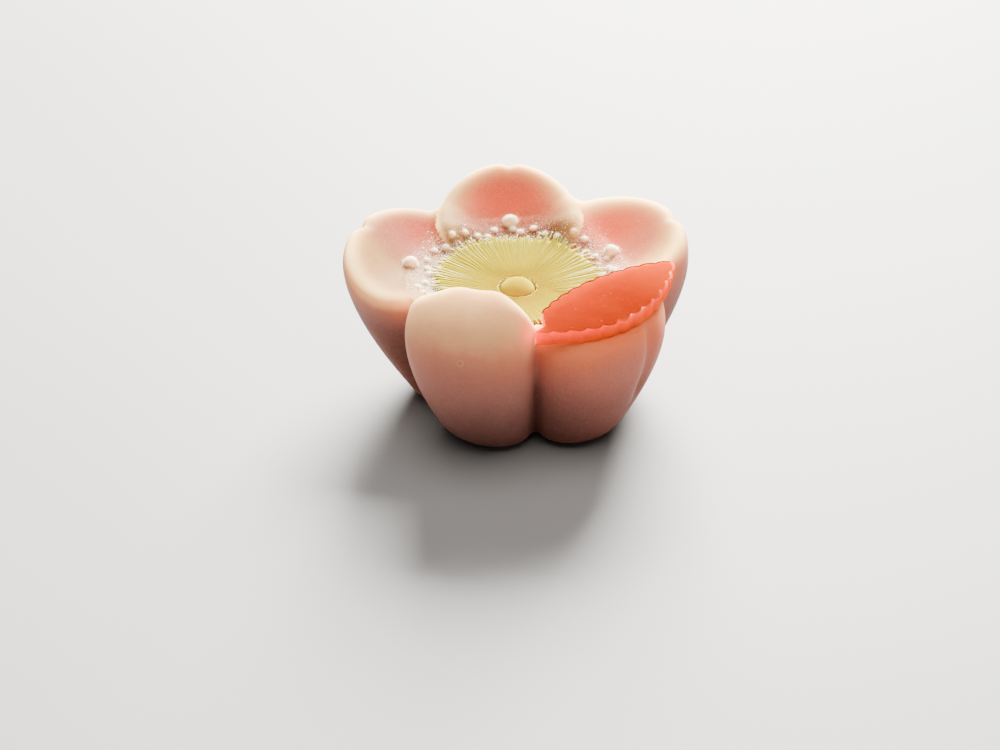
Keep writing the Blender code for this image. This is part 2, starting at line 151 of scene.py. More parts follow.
# Stamen disc, its collar and the pistil
GAP = 0.3
DISC_RADIUS = 12.2
DISC_DRAWN_IN = 2.6
DISC_DRAWN_SPAN = 0.75
DISC_HOLE = 2.7
DISC_THICK_IN = 1.8
DISC_THICK_OUT = 0.45
DISC_CLEARANCE = 0.45
DISC_SIDES = 180
DISC_RINGS = 14
STAMENS = 120
STAMEN_STEPS = 14
STAMEN_START = (3.0, 3.6)
STAMEN_PAST = (-0.8, 0.5)
STAMEN_RADIUS = (0.08, 0.18)
THREAD_SIDES = 6
STAMEN_BEND = 0.035
STAMEN_WAVE = 0.008
TIPS = 170
TIP_START = (5.0, 9.5)
TIP_PAST = (-0.5, 1.1)
TIP_RADIUS = (0.04, 0.1)
THREAD_SUNK = 0.38
SHEET_FRINGE = 0.5
SHEET_SUNK = 0.16
SHEET_BED = 0.25
TIP_DIVE = 0.55
STAMEN_TINTS = (
    (0.22, (0.175, 0.103, 0.0)),
    (0.45, (0.218, 0.162, 0.0)),
    (0.85, (0.238, 0.19, 0.001)),
    (1.0, (0.28, 0.235, 0.008)),
)
STAMEN_FLECK = (0.28, 0.225, 0.005)
COLLAR_RING = (2.72, 3.0)
COLLAR_GRAINS = 120
COLLAR_GRAIN = 0.1
COLLAR_LIFT = (-0.1, 0.03)

# Loose grains: their uneven sizes, and how thickly the starch is strewn, in grains a square metre
ROUGH = {"Least": (0.6, 0.6, 0.5), "Most": (1.3, 1.3, 1.1)}
GRAIN_INPUTS = dict(Grain_radius="Float", Least="Vector", Most="Vector", Detail="Int", Seed="Int")
DUST_DENSITY = 1.4e7
DUST_GRAIN = 0.092

PISTIL_RADIUS = 2.5
PISTIL_SIDE = 1.55
PISTIL_FOOT = 0.9
PISTIL_TOP = 20.3
PISTIL_SIDES = 72
PISTIL_RINGS = 18

# Pearls, one to a petal, and the small anther beads round the disc
PEARL_RADIUS = 1.0
PEARL_LIFT = 0.1
BEAD_BLEND = 0.6
PEARLS = ((93.6, 15.9), (166.7, 16.0), (245.8, 13.2), (319.8, 15.4), (27.3, 15.6))
ANTHERS = 46
ANTHER_RADIUS = (0.34, 0.46)
ANTHER_RING = (13.0, 14.6)
ANTHER_LIFT = 0.1
ANTHER_SHARE = 0.85
SEED = 5

# Sampling of the paste body, and a distance beyond all of it
FAR = 50.0
PROBE = 0.05
CELL = 0.33
BODY_LOW = (-28.0, -28.0, -1.5)
BODY_HIGH = (28.0, 28.0, 30.5)

# Camera, matched to the picture's outlines
LENS = 72.0
SENSOR = 36.0
CAMERA_PLACE = (-0.00254, -0.24778, 0.17081)
CAMERA_TILT = 56.0

# Studio: half the floor's side in millimetres, the fill light, and each lamp's place, side, power and
# colour, in metres and watts
FLOOR = 1500.0
FILL_COLOUR = (1.0, 0.98, 0.95)
FILL_STRENGTH = 0.13
LAMPS = (
    ("key", (0.08, 0.38, 0.29), 0.28, 42.0, (1.0, 0.97, 0.92)),
    ("overhead", (0.0, -0.12, 0.50), 0.4, 3.0, (1.0, 0.96, 0.92)),
)
LAMP_AIM = (0.0, 0.0, 0.02)


class Value:
    """An output socket that shader and geometry maths can be written with."""

    def __init__(self, network, socket):
        self.network = network
        self.socket = socket

    def __add__(self, other):
        return self.network.maths("ADD", self, other)

    def __sub__(self, other):
        return self.network.maths("SUBTRACT", self, other)

    def __rsub__(self, other):
        return self.network.maths("SUBTRACT", other, self)

    def __mul__(self, other):
        return self.network.maths("MULTIPLY", self, other)

    def __truediv__(self, other):
        return self.network.maths("DIVIDE", self, other)

    def __pow__(self, other):
        return self.network.maths("POWER", self, other)

    __radd__ = __add__
    __rmul__ = __mul__


class Network:
    """A node tree to which nodes are added one call at a time."""

    def __init__(self, tree):
        self.tree = tree

    def put(self, socket, value):
        if isinstance(value, Value):
            self.tree.links.new(value.socket, socket)
        elif value is not None:
            socket.default_value = value

    def node(self, kind, settings=None, inputs=None, output=0):
        """Add a node: settings come first, then the values or links of its sockets."""
        node = self.tree.nodes.new(kind)
        for name, value in (settings or {}).items():
            if name == "stops":
                self.set_stops(node.color_ramp, value)
            else:
                setattr(node, name, value)
        for key, value in (inputs or {}).items():
            self.put(node.inputs[key], value)
        return Value(self, node.outputs[output])

    def set_stops(self, ramp, stops):
        """Give a colour ramp its stops, each a position and a colour, with soft passages between."""
        ramp.interpolation = "B_SPLINE"
        while len(ramp.elements) < len(stops):
            ramp.elements.new(1.0)
        for element, (position, colour) in zip(ramp.elements, stops):
            element.position = position
            element.color = (*colour, 1.0)

    def maths(self, operation, *values):
        return self.node("ShaderNodeMath", {"operation": operation}, dict(enumerate(values)))


class Finish(Network):
    """A material and the few kinds of node that all finishes here are made of."""

    def __init__(self, name, softness=0.0, spread=(1.0, 1.0, 1.0), reach=0.001, gloss=0.0):
        """`softness` is how much light the stuff lets in, which spreads over `reach` times `spread`."""
        self.surface = bpy.data.materials.new(name)
        self.surface.use_nodes = True
        super().__init__(self.surface.node_tree)
        self.shader = self.tree.nodes["Principled BSDF"]
        self.feed("Subsurface Weight", softness)
        self.feed("Subsurface Radius", spread)
        self.feed("Subsurface Scale", reach)
        self.feed("Specular IOR Level", gloss)

    def feed(self, label, value):
        self.put(self.shader.inputs[label], value)

    def attribute(self, name):
        return self.node("ShaderNodeAttribute", {"attribute_name": name}, output=2)

    def place(self):
        return self.node("ShaderNodeTexCoord", output=3)

    def along(self, axis):
        """How far along an axis the surface lies."""
        return self.node("ShaderNodeSeparateXYZ", inputs={0: self.place()}, output="XYZ".index(axis))

    def noise(self, size, detail=3.0, roughness=0.5):
        """Soft noise from 0 to 1 whose lumps are about `size` metres."""
        inputs = {"Vector": self.place(), "Scale": 1.0 / size, "Detail": detail, "Roughness": roughness}
        return self.node("ShaderNodeTexNoise", inputs=inputs)

    def range(self, value, low, high, start=0.0, end=1.0):
        """Map a value from one range to another along a smooth step."""
        return self.node(
            "ShaderNodeMapRange",
            {"interpolation_type": "SMOOTHSTEP"},
            {"Value": value, "From Min": low, "From Max": high, "To Min": start, "To Max": end},
        )

    def mix(self, share, first, second, blend="MIX"):
        """Blend two colours, each a tuple or another node's colour."""
        first, second = ((*c, 1.0) if isinstance(c, tuple) else c for c in (first, second))
        settings = {"data_type": "RGBA", "blend_type": blend}
        return self.node("ShaderNodeMix", settings, {0: share, 6: first, 7: second}, 2)

    def ramp(self, value, stops):
        return self.node("ShaderNodeValToRGB", {"stops": stops}, {0: value})

    def ring(self, middle, radius, width):
        """A thin round line about a place: 1 on the line and 0 off it."""
        ends = {0: self.place(), 1: middle}
        away = self.node("ShaderNodeVectorMath", {"operation": "DISTANCE"}, ends, 1)
        return self.range(self.maths("ABSOLUTE", away - radius), width, 0.3 * width)

    def bump(self, height, distance):
        return self.node("ShaderNodeBump", inputs={"Height": height, "Distance": distance})


def smooth_max(a, b, width):
    """The larger of two, with the corner between them rounded over the given width."""
    mix = np.clip(0.5 + 0.5 * (a - b) / width, 0.0, 1.0)
    return b + (a - b) * mix + width * mix * (1.0 - mix)


def smooth_min(a, b, width):
    return -smooth_max(-a, -b, width)


def smooth_step(start, end, value):
    t = np.clip((value - start) / (end - start), 0.0, 1.0)
    return t * t * (3.0 - 2.0 * t)


def floor_height(radius):
    return FLOOR_Z + BOWL_RISE * (radius / BOWL_RADIUS) ** BOWL_POWER


def into_petal(petal, x, y):
    """Coordinates along the petal's direction and to its left."""
    turn = math.radians(petal["turn"])
    along = x * math.cos(turn) + y * math.sin(turn)
    aside = y * math.cos(turn) - x * math.sin(turn)
    return along, aside


def soft_power(share):
    """The power that shapes the wall, eased at its start so that the wall has no ridge there."""
    start = WALL_SOFT**WALL_POWER
    full = (1.0 + WALL_SOFT**2) ** (WALL_POWER / 2.0) - start
    return ((share**2 + WALL_SOFT**2) ** (WALL_POWER / 2.0) - start) / full


def shrink(petal, z):
    """How much of the petal's widest outline is left at a level."""
    wide = petal["wide"]
    below = np.clip((wide - z) / wide, 0.0, None)
    above = np.clip((z - wide) / (petal["crest"] - wide), 0.0, None)
    drawn_in = petal["foot_in"] * soft_power(below) + petal["rim_in"] * above**2
    return (petal["reach"] - drawn_in) / petal["reach"]


def lobe(petal, along, aside, scale):
    """Distance from the lobe's centre and angle round it, with its half width and centre."""
    half = petal["half"] * scale ** petal["slim"]
    centre = petal["centre"] * scale
    outer = petal["reach"] * scale - centre
    lengthwise = (along - centre) * np.where(along > centre, half / outer, 1.0)
    left_tuck, right_tuck = petal["tuck"]
    crosswise = aside * np.where(aside > 0.0, left_tuck, right_tuck)
    return np.hypot(lengthwise, crosswise), np.arctan2(crosswise, lengthwise), half, centre


def rim_level(petal, angle):
    """Height of the petal's rim at an angle round its lobe."""
    middle, level_part = petal["peak"]
    away = (np.abs(angle - middle) - level_part) / (RIM_SPAN - level_part)
    tip = 0.5 + 0.5 * np.cos(np.pi * np.clip(away, 0.0, 1.0))
    side = np.where(angle > middle, petal["left"], petal["right"])
    return side + (petal["crest"] - side) * tip


def dish_height(petal, along, aside):
    """Height of the petal's hollow side, and the place within the lobe from 0 to 1."""
    scale = shrink(petal, petal["crest"] - RIM_DEPTH)
    distance, angle, half, centre = lobe(petal, along, aside, scale)
    share = distance / half
    rim = rim_level(petal, angle)
    rim_radius = np.hypot(
        centre + CREST_SHARE * half * np.cos(angle), CREST_SHARE * half * np.sin(angle)
    )
    rise = (rim - floor_height(rim_radius)) * (1.0 - smooth_step(RIM_SPAN, RIM_FADE, np.abs(angle)))
    radius = np.hypot(along, aside)
    rise = rise * smooth_step(*petal["dish"], share) * smooth_step(RISE_FROM, RISE_FULL, radius)
    return floor_height(radius) + rise, share


def petal_fields(name, x, y, z):
    """The petal's wall and its hollow side, each negative inside the paste."""
    petal = PETALS[name]
    along, aside = into_petal(petal, x, y)
    distance, angle, half, _ = lobe(petal, along, aside, shrink(petal, z))
    notch_angle, notch_depth, notch_width, notch_end = NOTCHES[name]
    groove = notch_depth * np.exp(-(((angle - notch_angle) / notch_width) ** 2))
    half = half - groove * smooth_step(notch_end, notch_end + NOTCH_FADE, z)
    wall = smooth_max((distance - half) * WALL_SLOPE, -(z + FOOT_SUNK), FOOT_ROUND)
    height, _ = dish_height(petal, along, aside)
    return wall, (z - height) * DISH_SLOPE


def petal_field(name, x, y, z):
    """Negative inside the petal's paste."""
    return smooth_max(*petal_fields(name, x, y, z), RIM_ROUND)


def hollow_field(name, x, y, z):
    """Negative in the open space above the petal's hollow side."""
    petal = PETALS[name]
    along, aside = into_petal(petal, x, y)
    height, share = dish_height(petal, along, aside)
    return np.maximum((share - CREST_SHARE) * petal["half"], (height - z) * DISH_SLOPE)


def leaf_frame():
    """Middle of the leaf, its length, and the directions along it and across it."""
    start = np.array(LEAF_FROM[:2])
    end = np.array(LEAF_TO[:2])
    length = np.linalg.norm(end - start)
    along = (end - start) / length
    across = np.array((-along[1], along[0]))
    return (start + end) / 2.0, length, along, across


def into_leaf(x, y):
    """Coordinates along the leaf and across it, from its middle."""
    middle, _, along, across = leaf_frame()
    u = (x - middle[0]) * along[0] + (y - middle[1]) * along[1]
    v = (x - middle[0]) * across[0] + (y - middle[1]) * across[1]
    return u, v


def leaf_half_width(share):
    """Half the leaf's width at a share from -1 to 1 of its half length."""
    return LEAF_HALF * np.clip(1.0 - share**2, 0.0, None) ** LEAF_FULLNESS


def leaf_nip(share, side):
    """How much of the half width is left beside the tip, where the leaf's back side is nipped in."""
    nip = np.maximum(smooth_step(*LEAF_NIP, share), LEAF_NIP_LEAST)
    return np.where(np.asarray(side) > 0.0, nip, 1.0)


def leaf_shares(steps):
    """Places from -1 to 1 along the leaf that lie at even distances along its edge."""
    share = np.linspace(-1.0, 1.0, LEAF_SAMPLES)
    run = np.hypot(np.diff(share) * leaf_frame()[1] / 2.0, np.diff(leaf_half_width(share)))
    travelled = np.concatenate([[0.0], np.cumsum(run)])
    return np.interp(np.linspace(0.0, travelled[-1], steps + 1), travelled, share)


def leaf_top(u, v):
    """Level of the upper face: it rises from tip to tip and its long edges sag."""
    share = u / leaf_frame()[1]
    level = (LEAF_FROM[2] + LEAF_TO[2]) / 2.0 + (LEAF_TO[2] - LEAF_FROM[2]) * share
    return level + LEAF_TILT * v - LEAF_SAG * v**2


def leaf_bed_terms(x, y, z):
    """How far outside the leaf's outline and how far under its bed a point lies."""
    u, v = into_leaf(x, y)
    share = u / (leaf_frame()[1] / 2.0 + LEAF_BED)
    outline = np.abs(v) - (leaf_half_width(share) + LEAF_TOOTH) * leaf_nip(share, v)
    under = leaf_top(u, v) - LEAF_THICK - LEAF_BED
    return outline - LEAF_BED, under - z


def bare_flower_field(x, y, z):
    """The paste body without its pearls: core and petals, each lying over the ones that name it."""
    radius = np.hypot(x, y)
    core_radius = CORE_FOOT_RADIUS + (CORE_RIM_RADIUS - CORE_FOOT_RADIUS) * z / FLOOR_Z
    core_wall = smooth_max(radius - core_radius, -(z + FOOT_SUNK), FOOT_ROUND)
    body = smooth_max(core_wall, z - floor_height(radius), CORE_EDGE)
    hollows = {name: hollow_field(name, x, y, z) for name in ("back", "front_left", "right")}
    for name, petal in PETALS.items():
        paste = petal_field(name, x, y, z)
        for upper in petal["over"]:
            paste = smooth_max(paste, -hollows[upper], LAP_ROUND)
        body = smooth_min(body, paste, CREASE_ROUND)
    return smooth_max(body, -np.maximum(*leaf_bed_terms(x, y, z)), LAP_ROUND)


def top_of_body(x, y, low=10.0, high=24.0, rounds=30):
    """Height of the paste's upper surface over points near the middle."""
    low = np.full(np.shape(x), low)
    high = np.full(np.shape(x), high)
    for _ in range(rounds):
        middle = (low + high) / 2.0
        solid = bare_flower_field(x, y, middle) < 0.0
        low = np.where(solid, middle, low)
        high = np.where(solid, high, middle)
    return low


def bead_places():
    """Middle and radius of each pearl and each anther bead, set a little over the paste."""
    spots = [(math.radians(turn), radius, PEARL_RADIUS, PEARL_LIFT) for turn, radius in PEARLS]
    draw = random.Random(SEED)
    for index in range(ANTHERS):
        angle = 2.0 * math.pi * (index + draw.uniform(-0.25, 0.25)) / ANTHERS
        radius = draw.uniform(*ANTHER_RING)
        spots.append((angle, radius, ANTHER_SHARE * draw.uniform(*ANTHER_RADIUS), ANTHER_LIFT))
    angle, radius, size, lift = np.array(spots).T
    x = radius * np.cos(angle)
    y = radius * np.sin(angle)
    return np.stack([x, y, top_of_body(x, y) + lift, size], axis=1)


BEADS = bead_places()


def bead_field(x, y, z):
    """Negative inside the pearls and the anther beads."""
    nearest = np.full(np.shape(x), FAR)
    for middle_x, middle_y, middle_z, size in BEADS:
        distance = np.sqrt((x - middle_x) ** 2 + (y - middle_y) ** 2 + (z - middle_z) ** 2)
        nearest = np.minimum(nearest, distance - size)
    return nearest


def flower_field(x, y, z):
    """The whole paste body, its beads melting softly into the petals."""
    return smooth_min(bare_flower_field(x, y, z), bead_field(x, y, z), BEAD_BLEND)


def skin(field, low, high, cell):
    """Quads round a field's zero level: one point in each cell of a grid that the level crosses."""
    low = np.array(low)
    count = np.ceil((np.array(high) - low) / cell).astype(int) + 1
    axes = [low[i] + cell * np.arange(count[i]) for i in range(3)]
    values = field(*np.meshgrid(*axes, indexing="ij"))
    inside = values < 0.0
    cells = count - 1
    total = np.zeros((*cells, 3))
    crossings = np.zeros(cells)
    for axis in range(3):
        step = np.eye(3, dtype=int)[axis]
        for corner in np.ndindex(2, 2, 2):
            if corner[axis]:
                continue
            near = tuple(slice(c, c + n) for c, n in zip(corner, cells))
            far = tuple(slice(c, c + n) for c, n in zip(corner + step, cells))
            crossed = inside[near] != inside[far]
            where = values[near][crossed] / (values[near] - values[far])[crossed]
            total[crossed] += corner + where[:, None] * step
            crossings[crossed] += 1
    used = crossings > 0
    number = np.full(cells, -1)
    number[used] = np.arange(used.sum())
    points = (np.argwhere(used) + total[used] / crossings[used][:, None]) * cell + low
    quads = []
    for axis in range(3):
        first, second = (i for i in range(3) if i != axis)
        start = [slice(1, -1)] * 3
        start[axis] = slice(0, -1)
        end = list(start)
        end[axis] = slice(1, None)
        corner = np.argwhere(inside[tuple(start)] != inside[tuple(end)])
        corner[:, first] += 1
        corner[:, second] += 1
        ring = []
        for back_first, back_second in ((1, 1), (0, 1), (0, 0), (1, 0)):
            cell_index = corner.copy()
            cell_index[:, first] -= back_first
            cell_index[:, second] -= back_second
            ring.append(number[tuple(cell_index.T)])
        quads.append(np.stack(ring, axis=1))
    return points, np.concatenate(quads)


def settle(field, points, cell, rounds=3, least_slope=0.2, gain=0.8):
    """Move the points down the field's slope until they lie on its zero level."""
    for _ in range(rounds):
        here = field(*points.T)
        slope = np.stack([(field(*(points + PROBE * step).T) - here) / PROBE for step in np.eye(3)], 1)
        steepness = np.clip((slope**2).sum(axis=1), least_slope, None)
        move = -(here / steepness)[:, None] * slope
        length = np.linalg.norm(move, axis=1, keepdims=True)
        points = points + gain * move * np.minimum(1.0, 0.5 * cell / np.maximum(length, 1e-9))
    return points


def make_object(name, points, faces=(), finish=None, masks=None, edges=()):
    """Object from points in millimetres, with its masks stored on the points."""
    mesh = bpy.data.meshes.new(name)
    mesh.from_pydata((np.asarray(points) * MM).tolist(), edges, [tuple(face) for face in faces])
    for label, values in (masks or {}).items():
        layer = mesh.attributes.new(label, "FLOAT", "POINT")
        layer.data.foreach_set("value", np.asarray(values, dtype=np.float32))
    thing = bpy.data.objects.new(name, mesh)
    bpy.context.scene.collection.objects.link(thing)
    if len(faces):
        turn_outwards(thing)
        mesh.shade_smooth()
    if finish:
        mesh.materials.append(finish.surface)
    return thing


def turn_outwards(thing):
    bm = bmesh.new()
    bm.from_mesh(thing.data)
    bmesh.ops.recalc_face_normals(bm, faces=bm.faces)
    bm.to_mesh(thing.data)
    bm.free()


def freeze(thing):
    """Turn an object's modifiers into its mesh."""
    graph = bpy.context.evaluated_depsgraph_get()
    mesh = bpy.data.meshes.new_from_object(thing.evaluated_get(graph))
    thing.modifiers.clear()
    thing.data = mesh


def dress(piece, slot, *nodes):
    """Say what a finished piece rides on and which solids it stands for; its slot is not used."""
    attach(piece, "root")
    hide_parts(*nodes)


def cut_flat_base(thing):
    """Cut the body off at the table with one flat face, and part its folds where they touch."""
    bm = bmesh.new()
    bm.from_mesh(thing.data)
    bmesh.ops.collapse(bm, edges=[edge for edge in bm.edges if len(edge.link_faces) > 2])
    everything = list(bm.verts) + list(bm.edges) + list(bm.faces)
    bmesh.ops.bisect_plane(
        bm, geom=everything, plane_co=(0, 0, 0), plane_no=(0, 0, 1), clear_inner=True
    )
    bmesh.ops.holes_fill(bm, edges=[edge for edge in bm.edges if edge.is_boundary])
    bmesh.ops.recalc_face_normals(bm, faces=bm.faces)
    bm.to_mesh(thing.data)
    bm.free()


# Colours of the paste
CREAM = (0.97, 0.64, 0.24)
# A darker, pinker cream for the hollows: painted shade
SHADED_HOLLOW_CREAM = (0.66, 0.33, 0.11)
PALE_PINK = (0.52, 0.15, 0.075)
BLUSH = (0.64, 0.075, 0.028)
PEACH = (0.97, 0.52, 0.23)
SALMON = (0.54, 0.17, 0.112)
ROSE = (0.42, 0.17, 0.135)
# The two deepest wall colours are painted shade, darkest at the table
PAINTED_SHADE_PINK = (0.23, 0.10, 0.09)
PAINTED_SHADE_BROWN = (0.15, 0.045, 0.032)
WALL_TINTS_AND_SHADE = (
    (0.0, CREAM), (0.14, PEACH), (0.27, SALMON), (0.44, ROSE), (0.68, PAINTED_SHADE_PINK), (1.0, PAINTED_SHADE_BROWN),
)
CREASE_SHADE = (0.12, 0.03, 0.02)
PAINTED_LEAF_LIGHT = (1.0, 0.13, 0.03)
DUST_WHITE = (0.96, 0.74, 0.42)
PEARL_WHITE = (0.98, 0.88, 0.58)
TINT_WIDTH = 0.8

# How each petal is coloured. `blush` is the patch of pink in the hollow: its place along and aside, its
# spread along and aside, and its strength. `tint` is how far aside the pale pink round it lies. `tone`
# is painted shade: how light the paste is painted in the hollow, towards the petal's left and right
# sides, and next to the disc. `shade` is how fast the wall's colour deepens towards the table, partly
# the paste's own colour and partly painted shade, `start` how deep it is at the rim, and `fold` how far
# its cream keeps to the level of the crest on the sides. `dust` is the share of starch that lies on it,
# and `glow` how much painted orange light it takes from the leaf.
PAINT = {
    "back": dict(
        blush=(18.4, 0.0, 4.6, 7.2, 1.0), tint=0.0, tone=(0.8, 0.45, 0.85, 0.36),
        shade=1.0, start=0.0, fold=0.0, dust=0.4, glow=0.0,
    ),
    "left": dict(
        blush=(16.5, -6.5, 5.0, 4.8, 1.0), tint=-2.5, tone=(0.38, 0.7, 0.7, 0.85),
        shade=2.6, start=0.12, fold=0.0, dust=0.9, glow=0.0,
    ),
    "front_left": dict(
        blush=(13.5, 0.0, 3.0, 4.0, 0.35), tint=0.0, tone=(1.0, 1.0, 1.0, 1.0),
        shade=1.0, start=0.0, fold=0.6, dust=1.0, glow=0.4,
    ),
    "front_right": dict(
        blush=(16.0, 0.0, 4.0, 5.0, 0.5), tint=0.0, tone=(1.0, 1.0, 1.0, 1.0),
        shade=1.35, start=0.0, fold=0.0, dust=1.0, glow=1.0,
    ),
    "right": dict(
        blush=(16.2, 6.8, 6.2, 5.4, 1.0), tint=2.0, tone=(0.7, 1.0, 1.0, 0.9),
        shade=2.5, start=0.05, fold=0.0, dust=1.0, glow=0.4,
    ),
}
INMOST = (19.0, 14.0)
BLUSH_EDGE = 2.4

# Where the open bowl lies: its upward slope, radius and level. Then how far out starch lies past the
# disc, the levels between which the painted shade in the creases deepens, and how far the leaf's painted
# light reaches aside and down.
BOWL_SLOPE = (0.3, 0.6)
BOWL_EDGE = (17.5, 16.0)
BOWL_LEVEL = (13.0, 15.0)
DUST_FADE = (6.6, 0.5)
CREASE_LEVEL = (16.5, 11.0)
LEAF_REACH = (1.2, 4.0)

# A faint round dent on the front left petal, in metres
RING_MARK = (-0.00792, -0.02283, 0.02092)
RING_RADIUS = 0.00042
RING_WIDTH = 0.00016


def disc_edge(angle):
    """Radius of the stamen disc: the folded front left petal leaves it less room."""
    turned = angle - math.radians(PETALS["front_left"]["turn"])
    turned = (turned + math.pi) % (2.0 * math.pi) - math.pi
    return DISC_RADIUS - DISC_DRAWN_IN * np.exp(-((turned / DISC_DRAWN_SPAN) ** 2))


def paint_masks(points):
    """Where on the paste each tint, painted shade and painted light lies, from 0 to 1 for every point.
    """
    x, y, z = np.asarray(points).T
    inner, blush, tint, depth, hollow_side, tone, near_leaf, dusty = np.zeros((8, len(x)))
    nearest, second = np.full((2, len(x)), FAR)
    for name, petal in PETALS.items():
        wall, hollow = petal_fields(name, x, y, z)
        paste = smooth_max(wall, hollow, RIM_ROUND)
        for upper in petal["over"]:
            paste = smooth_max(paste, -hollow_field(upper, x, y, z), LAP_ROUND)
        along, aside = into_petal(petal, x, y)
        paint = PAINT[name]
        place, place_aside, spread, spread_aside, strength = paint["blush"]
        lengthwise = np.abs((along - place) / spread) ** BLUSH_EDGE
        crosswise = np.abs((aside - place_aside) / spread_aside) ** BLUSH_EDGE
        patch = np.exp(-lengthwise - crosswise)
        here = paste < nearest
        second = np.where(here, nearest, np.minimum(second, paste))
        nearest = np.where(here, paste, nearest)
        side = smooth_step(-1.6, 0.6, hollow - wall)
        inner = np.where(here, side, inner)
        _, share = dish_height(petal, along, aside)
        lip = side * smooth_step(0.96, 0.62, share)
        hollow_side = np.where(here, side * smooth_step(0.98, 0.72, share), hollow_side)
        blush = np.where(here, lip * strength * patch, blush)
        _, angle, half, centre = lobe(petal, along, aside, shrink(petal, z))
        lengthwise = (along - centre) / (petal["reach"] - petal["centre"])
        away = np.hypot(lengthwise, (aside - paint["tint"]) / (TINT_WIDTH * half))
        tint = np.where(here, lip * smooth_step(1.05, 0.55, away), tint)
        rim = rim_level(petal, angle)
        rim = rim + paint["fold"] * (petal["crest"] - rim)
        # How far down the wall's colour has gone: the paste's own deepening colour, then painted shade,
        # sooner on petals that stand in shadow
        deep = paint["start"] + paint["shade"] * (rim - z) / rim
        depth = np.where(here, deep / (1.0 + deep**4) ** 0.25, depth)
        # Painted shade in the hollow: darker towards one side and next to the disc, where the paste lies
        # in shade
        in_hollow, on_left, on_right, inmost = paint["tone"]
        off_tip = side * (1.0 - lip) * smooth_step(0.35, 1.1, np.abs(angle))
        light = in_hollow**lip * np.where(angle > 0.0, on_left, on_right) ** off_tip
        inward = (0.3 * side + 0.7 * lip) * smooth_step(*INMOST, along)
        tone = np.where(here, light * inmost**inward, tone)
        # Painted orange light that the jelly leaf casts on the paste near it
        near_leaf = np.where(here, paint["glow"], near_leaf)
        dusty = np.where(here, paint["dust"], dusty)
    radius = np.hypot(x, y)
    upward = (flower_field(x, y, z + PROBE) - flower_field(x, y, z - PROBE)) / (2.0 * PROBE)
    bowl = smooth_step(*BOWL_SLOPE, upward) * smooth_step(*BOWL_LEVEL, z)
    bowl = bowl * smooth_step(*BOWL_EDGE, radius)
    inner = np.maximum(inner, bowl)
    beyond_disc = radius - disc_edge(np.arctan2(y, x))
    dusty = 1.0 + (dusty - 1.0) * smooth_step(0.3, 1.8, beyond_disc)
    outline, under = leaf_bed_terms(x, y, z)
    bead = smooth_step(0.35, -0.1, bead_field(x, y, z))
    # Painted shade low in the creases between petals
    low_crease = smooth_step(*CREASE_LEVEL, z) * np.exp(-np.clip(second - nearest, 0.0, None))
    leaf_light = np.exp(
        -np.clip(outline, 0.0, None) / LEAF_REACH[0] - np.clip(under, 0.0, None) / LEAF_REACH[1]
    )
    return {
        "inner": inner,
        "blush": blush,
        "tint": tint,
        "depth": depth,
        "crease": (1.0 - inner) * low_crease,
        "hollow": np.maximum(hollow_side, bowl),
        "tone": tone,
        "dust": np.maximum(dusty * inner * smooth_step(*DUST_FADE, beyond_disc), 0.6 * bead),
        "glow": near_leaf * leaf_light,
        "pearl": bead,
    }


def petal_finish():
    """Satin bean paste: cream rims, pink hollows painted darker as shade, and walls whose colour deepens
    towards the table, partly the paste's own colour and partly painted shade; painted shade in the
    creases and painted orange light near the leaf.
    """
    finish = Finish("petal_paste", 0.6, (1.0, 0.4, 0.25), 0.0022, 0.01)
    cloud = finish.noise(0.004, 4.0, 0.55)
    grain = finish.noise(0.00035, 3.0, 0.6)
    speck = finish.noise(0.00022, 2.0, 0.5)
    depth = finish.attribute("depth") + (cloud - 0.5) * 0.12
    # Wall colour: the paste's own tints above, painted shade towards the table
    wall = finish.ramp(depth, WALL_TINTS_AND_SHADE)
    # The hollows are painted a darker, pinker cream than the rims: painted shade
    inside = finish.mix(finish.attribute("hollow"), CREAM, SHADED_HOLLOW_CREAM)
    inside = finish.mix(finish.attribute("tint"), inside, PALE_PINK)
    inside = finish.mix(finish.attribute("blush"), inside, BLUSH)
    # Painted shade over the hollow's colour
    inside = finish.mix(1.0, inside, finish.attribute("tone"), "MULTIPLY")
    colour = finish.mix(finish.attribute("inner"), wall, inside)
    # Painted shade in the creases
    colour = finish.mix(finish.attribute("crease") * 0.85, colour, CREASE_SHADE)
    # Painted orange light from the jelly leaf
    colour = finish.mix(finish.attribute("glow") * 0.85, colour, PAINTED_LEAF_LIGHT)
    dust = finish.attribute("dust")
    colour = finish.mix(dust * finish.range(speck, 0.5, 0.64, 0.03, 0.5), colour, DUST_WHITE)
    colour = finish.mix(finish.attribute("pearl"), colour, PEARL_WHITE)
    colour = finish.mix(finish.range(grain, 0.35, 0.75, 0.0, 0.04), colour, DUST_WHITE)
    finish.feed("Roughness", finish.range(grain, 0.3, 0.7, 0.36, 0.5))
    ring = finish.ring(RING_MARK, RING_RADIUS, RING_WIDTH)
    colour = finish.mix(ring * 0.2, colour, CREAM)
    finish.feed("Base Color", colour)
    relief = grain * 0.4 + cloud * 2.0 + speck * dust * 1.4 + ring * 1.2
    finish.feed("Normal", finish.bump(relief, 0.00005))
    return finish


def make_petals():
    """The paste body with its pearls and anther beads."""
    points, quads = skin(flower_field, BODY_LOW, BODY_HIGH, CELL)
    points = settle(flower_field, points, CELL)
    body = make_object("petals_paste", points, quads, petal_finish(), paint_masks(points))
    cut_flat_base(body)
    body.data.shade_smooth()
    return body


